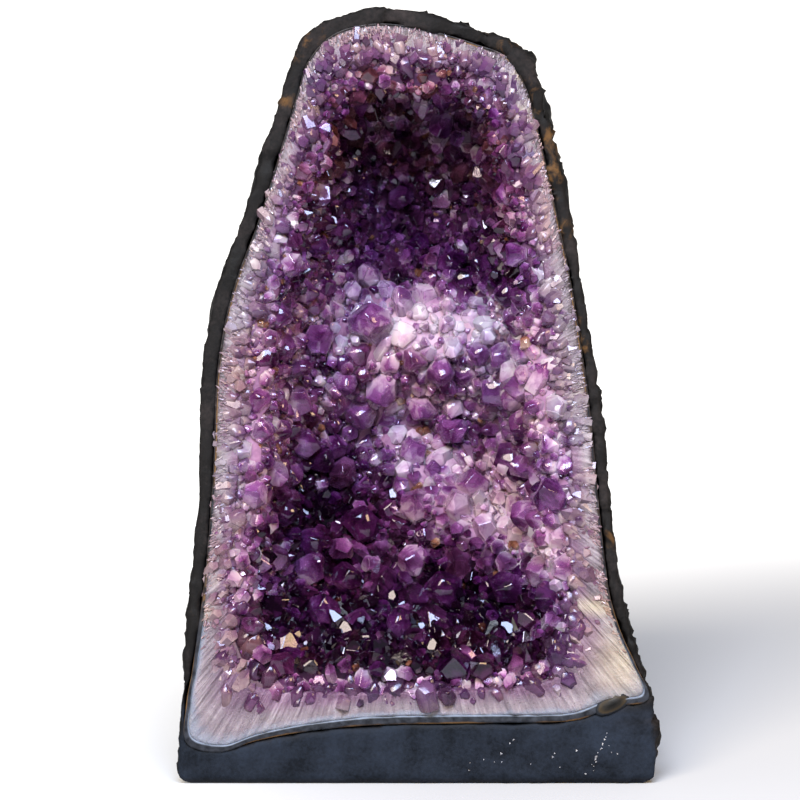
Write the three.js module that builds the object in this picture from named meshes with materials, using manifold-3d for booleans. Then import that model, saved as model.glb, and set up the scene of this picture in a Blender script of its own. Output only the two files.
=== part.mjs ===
// Amethyst cathedral geode. A half-dome of dark basalt is sawn flat underneath so that it stands,
// and its open face shows the layers inside: a thin agate band, pale quartz, and a druse of
// amethyst from which larger crystal points stand out.
// Millimetres, +Z up. The origin is at the centre of the underside, and the open face looks to -Y.
import * as THREE from 'three';
import { mergeVertices } from 'three/addons/utils/BufferGeometryUtils.js';
import Module from 'manifold-3d';

const wasm = await Module();
wasm.setup();

// Driving dimensions
const DOME_DEPTH = 120; // open face to the back of the dome
const FACE_LEAN = THREE.MathUtils.degToRad(9); // the open face leans back from the upright sill
const SILL_HEIGHT = 25; // the sawn front is upright below this height
const RIND_BACK = 13; // basalt at the back of the dome
const AGATE_THICKNESS = 2.4;
const QUARTZ_BACK = 17; // pale quartz behind the amethyst, before the ledges are added
const DRUSE_THICKNESS = 12;
const DRUSE_RECESS = 2.5; // the druse starts this far behind the open face
const DRUSE_RIM_SHARE = 0.7; // the druse is this much thinner at the rim than at the back
const DRUSE_PEAKS = 6.5; // height of the joined small crystals on the druse
const ROCK_ROUGHNESS = 3.2; // swell of the basalt's broken outside
const GAP = 0.3; // between touching pieces on the open face
const BACK_GAP = 0.6; // and between them at the back

const AXIS_X = -3; // the dome's layers close in on this line, which runs straight back
const AXIS_Z = 138;
const RIM_CELLS = 56; // facets around the rim
const RING_CELLS = [56, 56, 56, 56, 56, 56, 56, 28, 28, 14, 7]; // facets around each ring, rim to back
const RING_CROWDING = 1.6; // above 1 the rings crowd towards the back of the dome
const ROUNDNESS = 0.62; // below 1 the dome is fuller than an ellipse

const FAR = 400; // size of the cutting blocks, larger than the geode
const POINT_COUNT = 44; // places tried for free-standing crystals besides the show crystals
const POINT_ROOT = 4; // length of a crystal point that sits in its socket
const POINT_SPREAD = 0.86; // the crystal points keep inside this share of the opening
const POINT_RADIUS = 6.4; // at the foot of the cavity
const POINT_SHRINK = 2.2 / 280; // smaller by this much for each millimetre of height
const POINT_VARIETY = 1.4; // added to the radius of some
const COLUMN_SHARE = 0.32; // of a crystal's length, below its pointed tip
const ROOT_TAPER = 0.7; // a crystal's root is this much slimmer than its column
const SEAT_MARGIN = 1; // druse left around a socket
const CRYSTAL_ROOM = 1.25; // distance between crystals, as a share of their radii together

// Outlines on the open face, as [x, height] from the right-hand corner around by the top.
const RIND_OUTLINE = [
  [94, 6], [93.5, 30], [88, 47], [81.5, 65], [77, 100], [73, 142], [66, 190], [59, 226], [51, 262],
  [43.5, 284], [30, 290], [8, 297], [-14, 300], [-34, 297], [-46, 288], [-56, 259],
  [-68, 221], [-79, 191], [-84.5, 160], [-85.5, 124], [-88.5, 80], [-92, 38], [-94, 8],
  [-88, -38], [-50, -74], [0, -84], [50, -74], [88, -38],
];
const AGATE_OUTLINE = [
  [90, 33.5], [84.5, 48], [76.5, 67], [71.5, 100], [67.5, 142], [60.5, 190], [53.5, 224], [45.5, 258],
  [38, 278], [28, 283.5], [8, 290], [-14, 293.5], [-31, 290], [-40.5, 282], [-49.5, 256],
  [-61, 219], [-72, 189], [-77.5, 160], [-79, 124], [-82.5, 80], [-88, 40], [-90.5, 18],
  [-83, 12], [-68, 16], [-50, 20], [-20, 23.5], [25, 24.5], [64, 26], [80, 32],
];
const DRUSE_OUTLINE = [
  [59, 50], [61, 70], [59.5, 94], [62, 124], [56, 150], [52, 178], [48, 214], [42, 236],
  [36.5, 258], [30, 274], [6, 279], [-20, 280.5], [-36, 272], [-42, 252], [-53, 222],
  [-65, 182], [-70, 141], [-72, 104], [-75, 78], [-71, 56], [-62, 40], [-36, 35.5],
  [0, 35], [34, 37], [52, 41],
];

// The crystals that stand out most, as [x, height, radius, length above the druse].
const SHOW_CRYSTALS = [
  [-17, 170, 9, 15], [-50, 142, 6.5, 11], [34, 146, 7, 12], [52, 100, 5.5, 10],
  [-44, 82, 6, 11], [-20, 88, 8, 13], [12, 62, 8.5, 14], [40, 68, 7.5, 14],
  [-38, 56, 7, 12], [-8, 52, 6, 11], [22, 104, 7, 11], [-24, 264, 4.5, 8],
];

// Ledges and hollows of the cavity wall, as
// [how far forward, height at x = 0, slope, half height, x of the middle, half width].
const LEDGES = [
  [27, 168, 0.12, 24, 4, 62],
  [22, 96, -0.5, 20, 30, 44],
  [-9, 232, 0, 34, 0, Infinity],
  [-8, 112, 0, 26, -34, 26],
  [-7, 56, 0, 18, 0, Infinity],
];

// Repeatable scatter between 0 and 1 for whole number n.
function scatter(n) {
  const wave = Math.sin(n * 127.1 + 11.7) * 43758.5453;
  return wave - Math.floor(wave);
}

// A smooth closed outline that can be asked for its distance from the dome's axis at any angle.
class Outline {
  constructor(corners) {
    const points = corners.map(([x, z]) => new THREE.Vector3(x - AXIS_X, 0, z - AXIS_Z));
    this.curve = new THREE.CatmullRomCurve3(points, true, 'centripetal');
    const around = this.curve.getPoints(corners.length * 24).slice(0, -1);
    this.polar = around.map((p) => [Outline.angle(p), Math.hypot(p.x, p.z)]);
    this.polar.sort((a, b) => a[0] - b[0]);
  }

  static angle(p) {
    const a = Math.atan2(p.z, p.x);
    return a < 0 ? a + 2 * Math.PI : a;
  }

  radius(angle) {
    const turn = 2 * Math.PI;
    const a = ((angle % turn) + turn) % turn;
    const found = this.polar.findIndex((p) => p[0] >= a);
    const next = found < 0 ? 0 : found;
    const last = (next + this.polar.length - 1) % this.polar.length;
    const [a0, r0] = this.polar[last];
    const [a1, r1] = this.polar[next];
    const step = (a1 - a0 + turn) % turn;
    const share = step > 0 ? ((a - a0 + turn) % turn) / step : 0;
    return r0 + (r1 - r0) * share;
  }
}

const rindOutline = new Outline(RIND_OUTLINE);
const agateOutline = new Outline(AGATE_OUTLINE);
const druseOutline = new Outline(DRUSE_OUTLINE);

// Facet corners are spaced evenly along the agate outline, and every layer shares their angles.
const rimAngles = agateOutline.curve.getSpacedPoints(RIM_CELLS).slice(0, -1).map(Outline.angle);

// How far the open face lies behind the sill's front at a height.
function faceY(z) {
  return Math.tan(FACE_LEAN) * Math.max(0, z - SILL_HEIGHT);
}

function hump(distance, width) {
  return Math.exp(-((distance / width) ** 2));
}

// How far the cavity wall stands forward: two ledges, with hollows between and below them.
function ledges(x, z) {
  let forward = 0;
  LEDGES.forEach(([rise, height, slope, halfHeight, middle, halfWidth]) => {
    forward += rise * hump(z - height - slope * x, halfHeight) * hump(x - middle, halfWidth);
  });
  return forward;
}

// Slow uneven swell of a broken rock surface, between -1 and 1.
function swell(x, y, z) {
  const broad = Math.sin(x * 0.061 + z * 0.037) + Math.sin(z * 0.083 - y * 0.071 + 1.3);
  const close = Math.sin(x * 0.19 - y * 0.14 + 0.7) * Math.sin(z * 0.17 + 2.1);
  return 0.32 * broad + 0.36 * close;
}

// A layer's surface: where it is for an angle around the axis and a depth angle from rim to back.
class Layer {
  constructor({ outline, inset = 0, back, wall = false, rough = 0 }) {
    Object.assign(this, { outline, inset, back, wall, rough });
  }

  at(angle, depthAngle) {
    const closing = Math.cos(depthAngle) ** ROUNDNESS;
    const inwards = Math.sin(depthAngle);
    const reach = this.outline.radius(angle) * closing;
    const x = AXIS_X + reach * Math.cos(angle);
    const z = AXIS_Z + reach * Math.sin(angle);
    let radius = reach - this.inset * closing;
    let back = this.back * inwards;
    if (this.wall) back -= ledges(x, z) * inwards;
    if (this.rough > 0) {
      const lift = this.rough * (0.25 + 0.75 * inwards) * swell(x, back, z);
      radius += lift * closing;
      back += lift * inwards;
    }
    const p = new THREE.Vector3(AXIS_X + radius * Math.cos(angle), 0, AXIS_Z + radius * Math.sin(angle));
    p.y = faceY(p.z) + back;
    return p;
  }

  // The point that is seen at (x, z) when looking straight at the open face.
  seenAt(x, z) {
    const angle = Math.atan2(z - AXIS_Z, x - AXIS_X);
    const closing = Math.hypot(x - AXIS_X, z - AXIS_Z) / (this.outline.radius(angle) - this.inset);
    return { angle, depthAngle: Math.acos(Math.min(1, closing) ** (1 / ROUNDNESS)) };
  }

  // Direction square to the surface, out into the cavity.
  normal(angle, depthAngle) {
    const step = 0.02;
    const along = this.at(angle + step, depthAngle).sub(this.at(angle - step, depthAngle));
    const down = this.at(angle, Math.min(depthAngle + step, 1.55)).sub(this.at(angle, depthAngle - step));
    return along.cross(down).normalize();
  }

  rings() {
    return RING_CELLS.map((cells, ring) => {
      const ahead = (1 - ring / RING_CELLS.length) ** RING_CROWDING;
      const depthAngle = (1 - ahead) * (Math.PI / 2);
      const skip = RIM_CELLS / cells;
      return rimAngles.filter((_, i) => i % skip === 0).map((angle) => this.at(angle, depthAngle));
    });
  }
}

// Gathers corners and triangles of one closed body.
class Skin {
  constructor() {
    this.corners = [];
    this.triangles = [];
  }

  add(points) {
    const first = this.corners.length;
    this.corners.push(...points);
    return points.map((_, i) => first + i);
  }

  // A cell as a fan about its first corner, or as a pyramid if it has a peak.
  cell(loop, flip, peak) {
    const fan = loop.map((corner, i) => [corner, loop[(i + 1) % loop.length]]);
    const hub = peak ?? loop[0];
    const spokes = peak === undefined ? fan.slice(1, -1) : fan;
    spokes.forEach(([a, b]) => this.triangles.push(hub, flip ? b : a, flip ? a : b));
  }

  // Cells between two rings, where the second has as many corners as the first or half as many.
  band(outer, inner, visit) {
    const ratio = outer.length / inner.length;
    for (let i = 0; i < inner.length; i += 1) {
      const near = [];
      for (let k = 0; k <= ratio; k += 1) near.push(outer[(i * ratio + k) % outer.length]);
      visit([inner[i], ...near, inner[(i + 1) % inner.length]]);
    }
  }

  geometry() {
    const geometry = new THREE.BufferGeometry();
    const places = this.corners.flatMap((p) => [p.x, p.y, p.z]);
    geometry.setAttribute('position', new THREE.Float32BufferAttribute(places, 3));
    geometry.setIndex(this.triangles);
    return geometry;
  }
}

// Adds a layer's surface to a skin and returns its rim. Peaks turn its cells into small pyramids.
function cover(skin, layer, flip, peakHeight) {
  const rings = layer.rings().map((points) => skin.add(points));
  let count = 0;
  const visit = (loop) => {
    count += 1;
    if (!peakHeight) {
      skin.cell(loop, flip);
      return;
    }
    const corners = loop.map((i) => skin.corners[i]);
    const middle = corners.reduce((sum, p) => sum.add(p), new THREE.Vector3()).divideScalar(loop.length);
    const side = corners[2].clone().sub(corners[1]);
    const down = corners[0].clone().sub(corners[1]);
    const rise = peakHeight * (0.45 + 0.55 * scatter(count));
    const off = side.clone().multiplyScalar(0.3 * (scatter(count + 500) - 0.5));
    const peak = middle.add(off).add(side.cross(down).normalize().multiplyScalar(rise));
    skin.cell(loop, flip, skin.add([peak])[0]);
  };
  for (let i = 1; i < rings.length; i += 1) skin.band(rings[i - 1], rings[i], visit);
  skin.cell(rings[rings.length - 1], flip);
  return rings[0];
}

// A closed shell between an outer and an inner layer, open to the front.
function shell(outer, inner, peakHeight) {
  const skin = new Skin();
  const outside = cover(skin, outer, true);
  const inside = cover(skin, inner, false, peakHeight);
  skin.band(outside, inside, (loop) => skin.cell(loop, false));
  return skin.geometry();
}

function solid(geometry) {
  const bare = geometry.clone();
  bare.deleteAttribute('normal');
  bare.deleteAttribute('uv');
  const merged = mergeVertices(bare, 1e-4);
  const index = merged.index.array;
  const triangles = [];
  for (let i = 0; i < index.length; i += 3) {
    const [a, b, c] = [index[i], index[i + 1], index[i + 2]];
    if (a !== b && b !== c && c !== a) triangles.push(a, b, c);
  }
  const mesh = new wasm.Mesh({
    numProp: 3,
    vertProperties: new Float32Array(merged.attributes.position.array),
    triVerts: new Uint32Array(triangles),
  });
  return new wasm.Manifold(mesh);
}

function geometryOf(body) {
  const mesh = body.getMesh();
  const geometry = new THREE.BufferGeometry();
  geometry.setAttribute('position', new THREE.BufferAttribute(new Float32Array(mesh.vertProperties), 3));
  geometry.setIndex(new THREE.BufferAttribute(new Uint32Array(mesh.triVerts), 1));
  return geometry;
}

// Surfaces from the outside in
const rindOutside = new Layer({ outline: rindOutline, back: DOME_DEPTH, rough: ROCK_ROUGHNESS });
const rindInside = new Layer({ outline: agateOutline, back: DOME_DEPTH - RIND_BACK });
const agateOutside = new Layer({ outline: agateOutline, inset: GAP, back: rindInside.back - BACK_GAP });
const agateInside = new Layer({
  outline: agateOutline,
  inset: GAP + AGATE_THICKNESS,
  back: agateOutside.back - AGATE_THICKNESS,
});
const quartzOutside = new Layer({
  outline: agateOutline,
  inset: agateInside.inset + GAP,
  back: agateInside.back - BACK_GAP,
});
const quartzInside = new Layer({ outline: druseOutline, back: quartzOutside.back - QUARTZ_BACK, wall: true });
const druseOutside = new Layer({
  outline: druseOutline,
  inset: GAP,
  back: quartzInside.back - BACK_GAP,
  wall: true,
});
const druseInside = new Layer({
  outline: druseOutline,
  inset: GAP + DRUSE_THICKNESS * DRUSE_RIM_SHARE,
  back: druseOutside.back - DRUSE_THICKNESS,
  wall: true,
});

// A block that fills everything in front of a plane some way behind the leaning open face.
function inFrontOfFace(recess) {
  const block = new THREE.BoxGeometry(FAR * 2, FAR, FAR * 2).translate(0, -FAR / 2 + recess, 0);
  return block.rotateX(-FACE_LEAN).translate(0, 0, SILL_HEIGHT);
}

// Basalt: the dome's thick shell, sawn level underneath.
function basaltRind() {
  const below = new THREE.BoxGeometry(FAR, FAR, FAR).translate(0, 0, -FAR / 2);
  return geometryOf(solid(shell(rindOutside, rindInside)).subtract(solid(below)));
}

// One six-sided crystal along +Z: a short column in its socket, then a pointed tip.
function crystalGeometry(radius, length, margin = 0) {
  const column = length * COLUMN_SHARE;
  const profile = [
    new THREE.Vector2(0, -POINT_ROOT - margin),
    new THREE.Vector2(radius * ROOT_TAPER + margin, -POINT_ROOT - margin),
    new THREE.Vector2(radius + margin, column),
    new THREE.Vector2(0, length + margin * 2),
  ];
  return new THREE.LatheGeometry(profile, 6).rotateX(Math.PI / 2);
}

// Where one crystal point grows, and which way: square to the wall, turned a little to the front.
function crystalSeat(x, z, radius, length, seed) {
  const { angle, depthAngle } = druseInside.seenAt(x, z);
  const place = druseInside.at(angle, depthAngle);
  const way = druseInside.normal(angle, depthAngle);
  way.x += 0.5 * (scatter(seed + 40) - 0.5);
  way.y -= 0.25;
  way.z += 0.5 * (scatter(seed + 80) - 0.3);
  const turn = new THREE.Quaternion().setFromUnitVectors(new THREE.Vector3(0, 0, 1), way.normalize());
  turn.multiply(new THREE.Quaternion().setFromAxisAngle(new THREE.Vector3(0, 0, 1), scatter(seed) * Math.PI));
  return { place, turn, radius, length };
}

// Whether a crystal's socket stays inside the druse instead of breaking through to the quartz.
function seatHolds(seat, quartz) {
  const socket = placed(crystalGeometry(seat.radius + SEAT_MARGIN, seat.length, GAP), seat);
  return solid(socket).intersect(quartz).volume() < 1e-6;
}

// The show crystals, then smaller ones spiralling out from the axis wherever there is room.
function crystalSeats(quartz) {
  const seats = SHOW_CRYSTALS.map((row, i) => crystalSeat(...row, i));
  const goldenAngle = Math.PI * (3 - Math.sqrt(5));
  for (let k = 0; k < POINT_COUNT; k += 1) {
    const share = POINT_SPREAD * Math.sqrt((k + 0.5) / POINT_COUNT);
    const angle = k * goldenAngle;
    const reach = share * druseOutline.radius(angle);
    const x = AXIS_X + reach * Math.cos(angle);
    const z = AXIS_Z + reach * Math.sin(angle);
    const radius = POINT_RADIUS - POINT_SHRINK * z + POINT_VARIETY * scatter(k + 7);
    const seat = crystalSeat(x, z, radius, radius * (1.6 + 0.4 * scatter(k + 9)), k + 20);
    const room = (s) => CRYSTAL_ROOM * (s.radius + radius) + SEAT_MARGIN;
    const clear = seats.every((s) => s.place.distanceTo(seat.place) > room(s));
    if (clear && seatHolds(seat, quartz)) seats.push(seat);
  }
  return seats;
}

function placed(geometry, seat) {
  return geometry.applyQuaternion(seat.turn).translate(seat.place.x, seat.place.y, seat.place.z);
}

// The druse: a carpet of joined small crystals, with a socket for each larger point.
function amethystDruse(seats) {
  let body = solid(shell(druseOutside, druseInside, DRUSE_PEAKS)).subtract(solid(inFrontOfFace(DRUSE_RECESS)));
  seats.forEach((seat) => {
    body = body.subtract(solid(placed(crystalGeometry(seat.radius, seat.length, GAP), seat)));
  });
  const pieces = body.decompose().sort((a, b) => b.volume() - a.volume());
  return geometryOf(pieces[0]);
}

const geode = new THREE.Group();

function addPiece(name, geometry, color, roughness) {
  const material = new THREE.MeshStandardMaterial({ color, roughness, metalness: 0, flatShading: true });
  const mesh = new THREE.Mesh(geometry, material);
  mesh.name = name;
  geode.add(mesh);
}

const quartzGeometry = shell(quartzOutside, quartzInside);
const seats = crystalSeats(solid(quartzGeometry));
addPiece('basalt_rind', basaltRind(), 0x343a46, 0.8);
addPiece('agate_band', shell(agateOutside, agateInside), 0x6c7688, 0.3);
addPiece('quartz_lining', quartzGeometry, 0xc8b4cc, 0.35);
addPiece('amethyst_druse', amethystDruse(seats), 0x6a3f78, 0.15);
seats.forEach((seat, i) => {
  const name = `amethyst_point_${String(i + 1).padStart(2, '0')}`;
  addPiece(name, placed(crystalGeometry(seat.radius, seat.length), seat), 0x5b2a78, 0.08);
});

// Bring the centre of the underside to the origin.
const box = new THREE.Box3().setFromObject(geode);
geode.position.set(-(box.min.x + box.max.x) / 2, -(box.min.y + box.max.y) / 2, -box.min.z);

export default geode;
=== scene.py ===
from itertools import product
from math import cos, pi, radians, sin, tan

import bmesh
import bpy
import numpy as np
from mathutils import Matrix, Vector
from mathutils.bvhtree import BVHTree
from mathutils.kdtree import KDTree


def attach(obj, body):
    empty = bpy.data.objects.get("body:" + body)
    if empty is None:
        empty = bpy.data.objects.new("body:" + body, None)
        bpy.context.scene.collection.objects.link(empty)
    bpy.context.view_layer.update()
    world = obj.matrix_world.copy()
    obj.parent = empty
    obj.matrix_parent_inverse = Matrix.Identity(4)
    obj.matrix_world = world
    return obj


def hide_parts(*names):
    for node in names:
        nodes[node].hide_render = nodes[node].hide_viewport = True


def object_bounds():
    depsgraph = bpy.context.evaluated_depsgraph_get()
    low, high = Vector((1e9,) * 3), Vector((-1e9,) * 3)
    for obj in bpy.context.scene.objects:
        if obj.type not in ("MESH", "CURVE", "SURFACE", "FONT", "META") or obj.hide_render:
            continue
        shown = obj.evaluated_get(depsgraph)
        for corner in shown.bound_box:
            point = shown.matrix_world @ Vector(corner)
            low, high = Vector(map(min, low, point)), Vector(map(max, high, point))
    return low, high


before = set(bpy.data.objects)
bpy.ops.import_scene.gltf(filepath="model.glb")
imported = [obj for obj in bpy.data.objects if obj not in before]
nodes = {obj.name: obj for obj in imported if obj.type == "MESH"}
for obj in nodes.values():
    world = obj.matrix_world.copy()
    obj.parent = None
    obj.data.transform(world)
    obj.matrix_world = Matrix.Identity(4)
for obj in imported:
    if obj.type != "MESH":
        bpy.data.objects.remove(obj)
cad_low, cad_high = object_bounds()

MM = 0.001
FACE_LEAN = radians(9)  # the open face leans back above the sill
SILL_HEIGHT = 25 * MM
AXIS = np.array([-3 * MM, 138 * MM])  # x and z of the line that the dome's layers close in on
FRONT = np.array([0.0, -cos(FACE_LEAN), sin(FACE_LEAN)])  # out of the open face
TIP_SLOPE = radians(38.2)  # how far the outward direction of quartz's end faces rises to the tip
SKY = (0.04, -1.15, 1.22)  # the large blue lamp's middle
SKY_SIDE = (0.26, -1.15, 1.22)  # the part of that lamp farthest from the sun
WARM = (1.1, -0.9, 0.9)  # the small golden lamp
VIEWER = (0.0, -1.77, 0.39)  # where the leaned crystals send the lamps' light
CRYSTAL_ROOT = 1.2  # depth of a crystal shape's flat root below its column's middle, in radii
END_REACH = 0.87  # how far out the end faces start, in radii
TIP_FADE = 0.8  # below 1, a crystal's colour deepens soon above its root
ROCK_AREA = 0.15  # of the rind, in square metres, for the number of its facets
FRAME_SHARE = 1.042  # height of the picture for each height of the geode

OUTLINE_STEPS = 1680  # places along each outline of the rim
ROCK_VOXEL = 1.7 * MM
FACET_TONES = 64
HEAD_TRIES = 3600  # crystals tried for each part of the rim, before the crowded ones are left out
CHUNK_TRIES = 5200
FRINGE_TRIES = 6500
RIM_ROOM = 0.56  # least distance of neighbours in the rim, in the sum of their radii
HEAD_REACH = 5 * MM
CORNER_REACH = 13 * MM
WALL_CALM = 9 * MM  # how far the wall's direction is averaged

# Crystal sizes of the druse: smallest and largest radius in mm, tries, room between neighbours.
DRUSE_SIZES = (
    (4.4, 6.8, 900, 0.80),
    (2.7, 4.4, 5000, 0.70),
    (1.6, 2.7, 16000, 0.64),
    (0.9, 1.6, 20000, 0.70),
)

# Zones seen from the front, in mm: x, z, half length, half height, slope, strength.
# Painted light: the crystals are painted paler where light falls on the ledges and ridges.
LIT_LEDGE_ZONES = (
    (8, 170, 44, 15, -0.05, 1.0),
    (34, 98, 54, 15, -0.55, 1.0),
    (50, 150, 22, 32, 0.0, 0.55),
    (-8, 138, 46, 13, 0.0, 0.5),
    (-70, 122, 13, 50, 0.0, 0.6),
    (54, 225, 12, 40, 0.0, 0.35),
)
# Painted shade: deeper purple, down to nearly black, in the hollows and under the overhangs.
SHADE_ZONES = (
    (-6, 50, 68, 23, 0.0, 1.0),
    (-36, 92, 27, 22, 0.0, 0.6),
    (-5, 222, 48, 30, 0.0, 0.2),
    (26, 192, 26, 8, 0.0, 0.6),
)
RUST_ZONES = (
    (54, 244, 7, 20, -1.0, 1.0),
    (62, 176, 6, 12, -2.0, 0.8),
    (-52, 264, 6, 6, 0.0, 1.0),
    (76, 92, 6, 18, -2.0, 0.6),
)
HEAD_ZONES = (
    (-66, 48, 16, 16, 0.0, 1.0),
    (58, 44, 12, 12, 0.0, 0.4),
)
SKY_GLINTS = (
    (0, 60, 80, 42, 0.0, 0.30),
    (45, 150, 30, 40, 0.0, 0.14),
    (35, 230, 24, 34, 0.0, 0.22),
)
GOLD_GLINTS = (
    (34, 222, 30, 45, 0.0, 0.50),
    (-40, 190, 22, 30, 0.0, 0.08),
    (0, 70, 60, 30, 0.0, 0.08),
)
CREAM_ZONES = (
    (80, 48, 11, 15, 0.0, 0.9),
    (70, 69, 10, 3.5, -0.1, 1.0),
)

rng = np.random.default_rng(7)


# ---- small tools
def face_y(z):
    """Where the open face lies at a height."""
    return cad_low.y + tan(FACE_LEAN) * np.maximum(0.0, z - SILL_HEIGHT)


def smoothstep(low, high, value):
    t = np.clip((value - low) / (high - low), 0.0, 1.0)
    return t * t * (3 - 2 * t)


def lattice(cell, seed):
    """A repeatable value between -1 and 1 for each whole-number place."""
    with np.errstate(over="ignore"):
        h = cell[..., 0].astype(np.uint64) * np.uint64(0x9E3779B1)
        h ^= cell[..., 1].astype(np.uint64) * np.uint64(0x85EBCA77)
        h ^= cell[..., 2].astype(np.uint64) * np.uint64(0xC2B2AE3D)
        h = (h + np.uint64(seed * 7919)) * np.uint64(0x27D4EB2F165667C5)
        h ^= h >> np.uint64(29)
        h *= np.uint64(0x9FB21C651E98DF25)
        h ^= h >> np.uint64(32)
    return (h & np.uint64(0xFFFFFF)).astype(float) / float(0x7FFFFF) - 1.0


def noise(points, cell, seed=0, octaves=1):
    """Smooth noise between about -1 and 1 whose bumps are about one cell wide."""
    total = np.zeros(len(points))
    for octave in range(octaves):
        scaled = points / cell * 2.0**octave + 1000.0
        corner = np.floor(scaled).astype(np.int64)
        f = scaled - corner
        f = f * f * (3 - 2 * f)
        value = np.zeros(len(points))
        for dx, dy, dz in product((0, 1), repeat=3):
            weight = (f[:, 0] if dx else 1 - f[:, 0]) * (f[:, 1] if dy else 1 - f[:, 1])
            weight = weight * (f[:, 2] if dz else 1 - f[:, 2])
            value += weight * lattice(corner + (dx, dy, dz), seed + octave)
        total += value * 0.5**octave
    return total


def zones(places, rows):
    """How strongly each place belongs to any of the zones."""
    x, z = places[:, 0] / MM, places[:, 2] / MM
    share = np.zeros(len(places))
    for middle_x, middle_z, half_length, half_height, slope, strength in rows:
        dx = x - middle_x
        dz = z - middle_z - slope * dx
        share = np.maximum(share, strength * np.exp(-((dx / half_length) ** 2) - (dz / half_height) ** 2))
    return share


def unit(vectors):
    return vectors / np.maximum(np.linalg.norm(vectors, axis=-1, keepdims=True), 1e-12)


def corner_vectors(mesh, key):
    """The places ("co") or normals ("normal") of a mesh's corners."""
    values = np.zeros(len(mesh.vertices) * 3)
    mesh.vertices.foreach_get(key, values)
    return values.reshape(-1, 3)


def mesh_arrays(mesh):
    """Corner places and triangles of a mesh as arrays."""
    mesh.calc_loop_triangles()
    triangles = np.zeros(len(mesh.loop_triangles) * 3, dtype=np.int32)
    mesh.loop_triangles.foreach_get("vertices", triangles)
    return corner_vectors(mesh, "co"), triangles.reshape(-1, 3)


def add_attribute(mesh, name, values, domain="POINT"):
    kind = "FLOAT" if values.ndim == 1 else "FLOAT_VECTOR"
    layer = mesh.attributes.new(name, kind, domain)
    layer.data.foreach_set("value" if values.ndim == 1 else "vector", values.astype(np.float32).ravel())


def mesh_of(name, places, faces):
    """A mesh from arrays of corners and of faces that all have the same number of sides."""
    mesh = bpy.data.meshes.new(name)
    sides = faces.shape[1]
    mesh.vertices.add(len(places))
    mesh.vertices.foreach_set("co", places.astype(np.float32).ravel())
    mesh.loops.add(faces.size)
    mesh.loops.foreach_set("vertex_index", faces.astype(np.int32).ravel())
    mesh.polygons.add(len(faces))
    mesh.polygons.foreach_set("loop_start", np.arange(len(faces), dtype=np.int32) * sides)
    mesh.update(calc_edges=True)
    return mesh


def in_scene(name, data):
    """A new object of the scene."""
    item = bpy.data.objects.new(name, data)
    bpy.context.scene.collection.objects.link(item)
    return item


def add_piece(name, mesh, material, replaces=(), smooth=False):
    piece = in_scene(name, mesh)
    mesh.materials.clear()
    mesh.materials.append(material)
    mesh.polygons.foreach_set("use_smooth", [smooth] * len(mesh.polygons))
    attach(piece, "root")
    if replaces:
        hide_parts(*replaces)


def modified(mesh, *modifiers):
    """The mesh after modifiers, each given as a type and its settings."""
    holder = in_scene("holder", mesh)
    for kind, settings in modifiers:
        modifier = holder.modifiers.new(kind, kind)
        for key, value in settings.items():
            setattr(modifier, key, value)
    graph = bpy.context.evaluated_depsgraph_get()
    result = bpy.data.meshes.new_from_object(holder.evaluated_get(graph))
    bpy.data.objects.remove(holder)
    return result


# ---- material nodes
def set_inputs(node, values):
    """Sets inputs of a node, whose names are given with underscores for spaces."""
    for key, value in values.items():
        node.inputs[key.replace("_", " ")].default_value = value


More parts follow.
